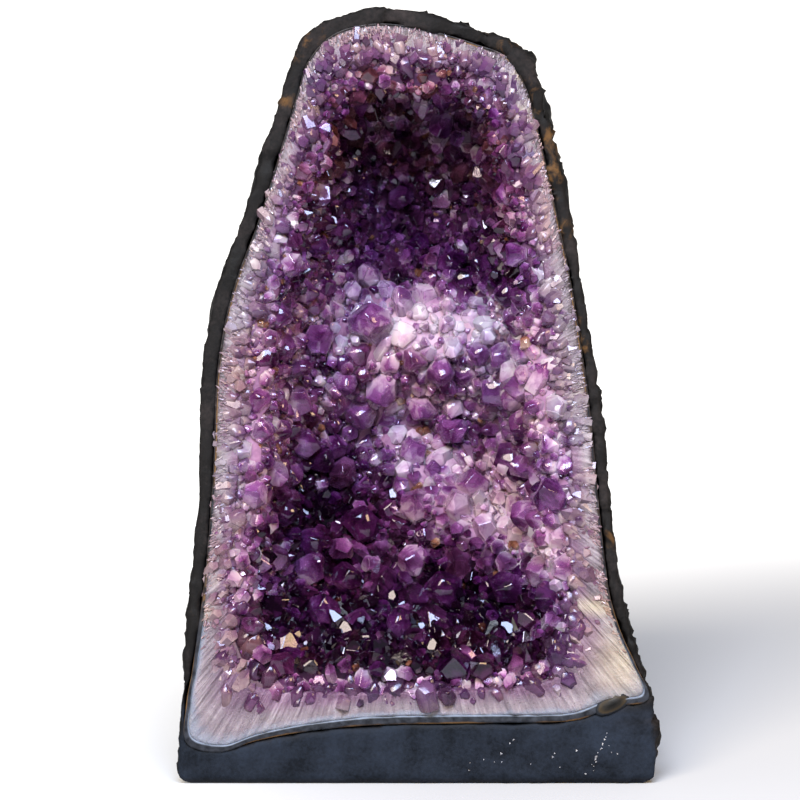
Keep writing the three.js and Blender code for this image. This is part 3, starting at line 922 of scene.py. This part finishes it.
def druse_crystals(wall, outline, points):
    """Crystals of falling size over the whole wall, larger ones first."""
    centres, normals, areas, corners = wall
    taken, taken_radii = points
    first = len(taken)
    for low, high, tries, room in DRUSE_SIZES:
        pick = rng.choice(len(areas), tries, p=areas / areas.sum())
        a, b = rng.random((2, tries, 1))
        flip = (a + b) > 1
        a, b = np.where(flip, 1 - a, a), np.where(flip, 1 - b, b)
        c = corners[pick]
        spots = c[:, 0] + (c[:, 1] - c[:, 0]) * a + (c[:, 2] - c[:, 0]) * b
        size = rng.uniform(low, high, tries) * MM
        size *= 1.12 - 0.35 * smoothstep(60 * MM, 250 * MM, spots[:, 2])
        chosen = thinned(spots, size, room, taken, taken_radii)
        taken = np.concatenate([taken, spots[chosen]])
        taken_radii = np.concatenate([taken_radii, size[chosen]])
    place, radius = taken[first:], taken_radii[first:]
    count = len(place)
    way = calm_normals(place, centres, normals, areas, WALL_CALM)
    large = smoothstep(3 * MM, 5 * MM, radius)
    way = way + rng.normal(0, 1, (count, 3)) * (0.42 - 0.17 * large)[:, None] + FRONT * 0.3
    way = leaned(way, place, SKY_SIDE, zones(place, SKY_GLINTS) * (1 - large))
    way = leaned(way, place, WARM, zones(place, GOLD_GLINTS) * (1 - large))
    margin = outline_margin(place[:, 0], place[:, 2], outline)
    purple, warm = wall_colour(place, margin)
    # In the painted shade the larger crystals are kept lighter, so that their heads stand out of the nearly
    # black gaps.
    purple -= 0.24 * zones(place, SHADE_ZONES) * smoothstep(1.8 * MM, 3.6 * MM, radius)
    purple = purple + rng.normal(0, 0.15, count)
    stretch = rng.uniform(0.75, 1.45, count) - 0.25 * large
    warmth = np.clip(rng.normal(0, 0.5, count) * warm + warm * 0.6, 0, 0.8)
    warmth[(rng.random(count) < 0.04) & (radius < 2.4 * MM)] = 0.9
    place = place - unit(way) * (radius * 0.25)[:, None]
    return facts_of(place, way, radius, stretch, purple - 0.9 * (1 - purple), purple + 0.18, warmth)


def point_facts():
    """Name, tip, direction, radius and length of every CAD crystal point."""
    facts = []
    for name in sorted(n for n in nodes if n.startswith("amethyst_point_")):
        places = corner_vectors(nodes[name].data, "co")
        places = np.unique(np.round(places, 6), axis=0)
        middle = places.mean(axis=0)
        tip = places[np.argmax(np.linalg.norm(places - middle, axis=1))]
        way = unit(tip - middle)
        along = (places - tip) @ way
        radius = np.linalg.norm(places - tip - along[:, None] * way, axis=1).max()
        facts.append((name, tip, way, radius, -along.min()))
    return facts


def point_pieces(facts, material, outline):
    """A finely cut crystal in the place of each CAD crystal point."""
    shapes = crystal_shapes(12, 0.14, 94)
    for i, (name, tip, way, radius, length) in enumerate(facts):
        shape = shapes[i % len(shapes)]
        top = shape[4]
        stretch = length / radius / (top + CRYSTAL_ROOT)
        margin = outline_margin(tip[0], tip[2], outline)
        purple, warm = wall_colour(tip[None], np.array([margin]))
        purple = np.clip(purple, 0.4, 0.72)
        place = (tip - way * top * stretch * radius)[None]
        sizes = (np.array([radius * 1.05]), np.array([stretch]))
        one = facts_of(place, way[None], *sizes, purple - 0.25, purple + 0.2, warm * 0.3)
        mesh = grown_mesh(name + "_cut", one, [shape])
        add_piece(name + "_cut", mesh, material, (name,), smooth=True)


def places_along(loop, count):
    """Random places of an outline, spread evenly over its length."""
    lengths = np.linalg.norm(np.roll(loop, -1, 0) - loop, axis=1)
    return rng.choice(len(loop), count, p=lengths / lengths.sum())


def rim_heads(outline):
    """Pale crystals whose ends make the scalloped inner edge of the quartz rim."""
    count = HEAD_TRIES
    at = places_along(outline, count)
    edge = outline[at]
    away = unit((edge - np.array([AXIS[0], 0, AXIS[1]])) * [1, 0, 1])
    row = rng.uniform(-0.6, 0.9, count)
    foot = 1 - up_the_side(edge)
    reach = HEAD_REACH * (1 + 0.5 * foot * (row < 0)) + CORNER_REACH * zones(edge, HEAD_ZONES)
    place = edge + away * (row * reach)[:, None] - FRONT * (rng.uniform(-0.6, 4, count) * MM)[:, None]
    place -= FRONT * (smoothstep(0.2, -0.6, row) * 4 * MM)[:, None]
    way = -away * 0.8 + FRONT * rng.uniform(0.1, 0.8, (count, 1)) + rng.normal(0, 0.25, (count, 3))
    radius = rng.uniform(1.5, 4.2, count) * (1 + 0.3 * foot) * (1 - 0.45 * np.clip(row, 0, 1)) * MM
    chosen = thinned(place, radius, RIM_ROOM)
    place, way, radius, row, foot = place[chosen], way[chosen], radius[chosen], row[chosen], foot[chosen]
    purple = 0.34 - 0.16 * row + 0.32 * foot + rng.normal(0, 0.12, len(chosen))
    # Painted shade: the heads are painted deeper purple towards the top of the rim.
    purple += 0.04 + 0.28 * smoothstep(190 * MM, 280 * MM, place[:, 2])
    stretch = rng.uniform(0.7, 1.25, len(chosen))
    warmth = 0.6 * creamy(place) + rng.normal(0, 0.08, len(chosen))
    return facts_of(place, way, radius, stretch, purple - 0.4 + 0.2 * foot, purple + 0.22, warmth)


def rim_chunks(outer, inner):
    """Stubby crystals across the inner part of the quartz rim; along the foot its fibres show instead."""
    count = CHUNK_TRIES
    at = places_along(outer, count)
    across = inner[at] - outer[at]
    row = rng.uniform(0.22, 0.95, count)
    root = outer[at] + across * row[:, None] + FRONT * (rng.uniform(-1.6, 0.5, (count, 1)) * MM)
    out = FRONT * rng.uniform(0.0, 0.7, (count, 1))
    way = unit(unit(across) * 0.9 + out + rng.normal(0, 0.22, (count, 3)))
    radius = rng.uniform(1.0, 3.2, count) * (0.7 + 0.4 * row) * MM
    chosen = thinned(root, radius, RIM_ROOM)
    chosen = chosen[rng.random(len(chosen)) < beside(root[chosen])]
    chosen = chosen[row[chosen] > 0.45 - 0.25 * up_the_side(root[chosen])]
    chosen = chosen[rng.random(len(chosen)) > 1.3 * zones(root[chosen], CREAM_ZONES)]
    root, row = root[chosen], row[chosen]
    shade = 0.35 * smoothstep(190 * MM, 280 * MM, root[:, 2])
    purple = 0.10 + 0.26 * row + shade + rng.normal(0, 0.1, len(chosen))
    stretch = rng.uniform(0.8, 1.3, len(chosen))
    warmth = 0.4 * creamy(root) + rng.normal(0.0, 0.08, len(chosen))
    return facts_of(root, way[chosen], radius[chosen], stretch, purple - 0.2, purple + 0.18, warmth)


def rim_fringe(outer, inner):
    """Fine crystals lying along the fibres, which fray the quartz where it meets the rind."""
    count = FRINGE_TRIES
    at = places_along(outer, count)
    inward = unit(inner[at] - outer[at])
    row = rng.uniform(0.9, 4.6, (count, 1))
    place = outer[at] + inward * (row * MM) + FRONT * (rng.uniform(0.1, 1.3, (count, 1)) * MM)
    chosen = np.flatnonzero(rng.random(count) < up_the_side(place))
    count = len(chosen)
    place = place[chosen]
    purple = rng.uniform(0.0, 0.2, count)
    way = -inward[chosen] + rng.normal(0, 0.3, (count, 3)) + FRONT * 0.15
    radius = rng.uniform(0.2, 0.5, count) * MM
    stretch = rng.uniform(1.2, 2.8, count)
    return facts_of(place, way, radius, stretch, purple, purple * 0.5, creamy(place))


def base_flecks(material):
    """Pale flecks on the sawn foot: a dotted scratch and scattered specks, right of the middle."""
    scratch = np.linspace((74, 20), (69, 7), 15) + rng.normal(0, 0.45, (15, 2))
    scattered = np.stack([rng.uniform(20, 86, 18), rng.uniform(3, 18, 18)], axis=1)
    spots = np.concatenate([scratch, scattered]) * MM
    sizes = rng.uniform(0.2, 0.55, len(spots)) * MM
    corners = unit(np.array([[1.0, 0, 0.2], [-0.6, 0, 0.9], [-0.5, 0, -0.8], [0, -0.5, 0]])) * [1, 0.3, 1]
    places = []
    for (x, z), size in zip(spots, sizes):
        stretch = rng.uniform(0.4, 1.6, (4, 3)) * size
        places.append(np.array([x, cad_low.y - 0.1 * MM, z]) + corners * stretch)
    faces = np.array([[0, 1, 3], [1, 2, 3], [2, 0, 3], [0, 2, 1]])
    faces = np.concatenate([faces + 4 * i for i in range(len(spots))])
    mesh = mesh_of("base_flecks", np.concatenate(places), faces)
    add_piece("base_flecks", mesh, material)


def agate_eye(material):
    """The dark loop of agate that rises into the quartz above the right end of the foot."""
    loop = bmesh.new()
    bmesh.ops.create_icosphere(loop, subdivisions=4, radius=1.0)
    mesh = bpy.data.meshes.new("agate_eye")
    loop.to_mesh(mesh)
    loop.free()
    places = corner_vectors(mesh, "co")
    places *= (1 + 0.12 * noise(places, 0.6, 71, 2))[:, None]
    from_middle = np.hypot(places[:, 0], places[:, 2])
    lean = radians(24)
    x, z = places[:, 0] * 7.6, places[:, 2] * 3.4
    places[:, 0] = 76.0 + x * cos(lean) - z * sin(lean)
    places[:, 2] = 31.6 + x * sin(lean) + z * cos(lean)
    places[:, [0, 2]] *= MM
    places[:, 1] = face_y(places[:, 2]) + (places[:, 1] * 1.6 + 0.2) * MM
    mesh.vertices.foreach_set("co", places.ravel())
    add_attribute(mesh, "ring", from_middle)
    add_piece("agate_eye", mesh, material, smooth=True)


# ---- scene
def build_geode():
    basalt = basalt_material()
    agate = agate_material()
    quartz = quartz_material()
    amethyst, shaded_amethyst = amethyst_materials()
    rim_crystal = rim_crystal_material()
    basalt_piece(basalt)

    agate_outer, agate_inner = paired_loops("agate_band", OUTLINE_STEPS)
    quartz_outer, quartz_inner = paired_loops("quartz_lining", OUTLINE_STEPS)
    frayed_edge = widened(quartz_outer, (0.2 + 2.1 * up_the_side(quartz_outer)) * MM)
    rim_strip(
        "agate_edge", widened(agate_outer, 0.6 * MM), widened(agate_inner, -0.4 * MM),
        agate_relief, 2 * MM, 8, agate,
    )
    rim_strip(
        "quartz_edge", frayed_edge, widened(quartz_inner, -3.0 * MM),
        quartz_relief, 9 * MM, 26, quartz,
    )
    druse_wall(druse_wall_material(), quartz_inner)
    for name, material in (("agate_band", agate), ("quartz_lining", rim_crystal)):
        nodes[name].data.materials.clear()
        nodes[name].data.materials.append(material)
    base_flecks(fleck_material())
    agate_eye(eye_material())

    facts = point_facts()
    point_pieces(facts, amethyst, quartz_inner)
    taken = np.array([tip - way * length * 0.7 for _, tip, way, _, length in facts])
    radii = np.array([radius for _, _, _, radius, _ in facts])
    crystals = druse_crystals(open_wall(), quartz_inner, (taken, radii))
    shapes = crystal_shapes(48, 0.07, 50)
    sharp_shapes = crystal_shapes(24, 0.0, 60)
    heights = crystals["place"][:, 2]
    # The small crystals in the painted shade make the nearly black gaps.
    deep = (zones(crystals["place"], SHADE_ZONES) > 0.35) & (crystals["radius"] < 2.4 * MM)
    worn_shapes = crystal_shapes(24, 0.2, 70)
    soft_shapes = crystal_shapes(48, 0.14, 55)
    belts = (
        ("lower", 0, 105, shapes, False),
        ("middle", 105, 150, soft_shapes, True),
        ("ledge", 150, 190, soft_shapes, True),
        ("upper", 190, 230, shapes, False),
        ("top", 230, 400, shapes, False),
    )
    for name, low, high, cuts, smooth in belts:
        chosen = ~deep & (heights >= low * MM) & (heights < high * MM)
        some = picked(crystals, chosen)
        add_crystals("druse_crystals_" + name, some, cuts, amethyst, smooth)
    some = picked(crystals, deep)
    add_crystals("druse_crystals_deep", some, shapes, shaded_amethyst)
    heads = rim_heads(quartz_inner)
    add_crystals("rim_heads", heads, worn_shapes, rim_crystal, True)
    chunks = rim_chunks(frayed_edge, quartz_inner)
    add_crystals("rim_chunks", chunks, sharp_shapes, rim_crystal)
    fringe = rim_fringe(frayed_edge, quartz_inner)
    add_crystals("rim_fringe", fringe, sharp_shapes, rim_crystal)


def add_crystals(name, crystals, shapes, material, smooth=False):
    add_piece(name, grown_mesh(name, crystals, shapes), material, smooth=smooth)


def build_floor():
    bpy.ops.mesh.primitive_plane_add(size=60, location=(0, 0, -0.0002))
    floor = bpy.context.object
    floor.name = "floor"
    n = Nodes("floor")
    n.set(Base_Color=(0.405, 0.41, 0.425, 1), Roughness=0.7, Emission_Color=(1, 1, 1, 1))
    reach = n.node("VectorMath")
    reach.operation = "DISTANCE"
    n.link(n.place, reach.inputs[0])
    reach.inputs[1].default_value = (0.46, -0.08, 0.0)
    n.link(n.span(reach.outputs["Value"], 0.42, 0.80, 0.0, 0.9), n.shader.inputs["Emission Strength"])
    floor.data.materials.append(n.material)


def facing(way):
    """The rotation of a lamp or camera that looks a way, with its top up."""
    return way.to_track_quat("-Z", "Y").to_euler()


def area_light(name, place, aim, size, power, color):
    data = bpy.data.lights.new(name, "AREA")
    data.shape = "RECTANGLE"
    data.size, data.size_y = size
    data.energy = power
    data.color = color
    light = in_scene(name, data)
    light.location = place
    light.rotation_euler = facing(Vector(aim) - Vector(place))


def build_light():
    world = bpy.data.worlds.new("studio")
    bpy.context.scene.world = world
    world.use_nodes = True
    tree = world.node_tree
    background = tree.nodes["Background"]
    coordinates = tree.nodes.new("ShaderNodeTexCoord")
    split = tree.nodes.new("ShaderNodeSeparateXYZ")
    ramp = tree.nodes.new("ShaderNodeMapRange")
    set_inputs(ramp, {"From_Min": -0.45, "From_Max": -0.15, "To_Min": 0.05, "To_Max": 0.42})
    tree.links.new(coordinates.outputs["Generated"], split.inputs[0])
    tree.links.new(split.outputs["Y"], ramp.inputs["Value"])
    tree.links.new(ramp.outputs[0], background.inputs["Strength"])
    background.inputs["Color"].default_value = (0.98, 0.99, 1.0, 1)
    middle = (0, 0, 0.15)
    sun = bpy.data.lights.new("key", "SUN")
    sun.energy = 4.3
    sun.angle = radians(30)
    sun.color = (1.0, 0.86, 0.66)
    in_scene("key", sun).rotation_euler = facing(Vector((0.40, 0.85, -0.72)))
    area_light("sky", SKY, middle, (0.85, 0.60), 50, (0.64, 0.77, 1.0))
    area_light("warm", WARM, middle, (0.50, 0.50), 15, (1.0, 0.70, 0.36))


def build_camera():
    """A long lens a little above the geode, framed so that it fills the height."""
    data = bpy.data.cameras.new("camera")
    data.lens = 200
    data.sensor_width = 36
    camera = in_scene("camera", data)
    elevation = radians(8)
    frame_height = FRAME_SHARE * (cad_high.z - cad_low.z)
    target = Vector((-6.6 * MM, -50 * MM, 148 * MM))
    distance = frame_height * data.lens / data.sensor_width
    camera.location = target + distance * Vector((0, -cos(elevation), sin(elevation)))
    camera.rotation_euler = facing(target - camera.location)
    bpy.context.scene.camera = camera


build_geode()
build_floor()
build_light()
build_camera()
bpy.context.scene.view_settings.view_transform = "Standard"
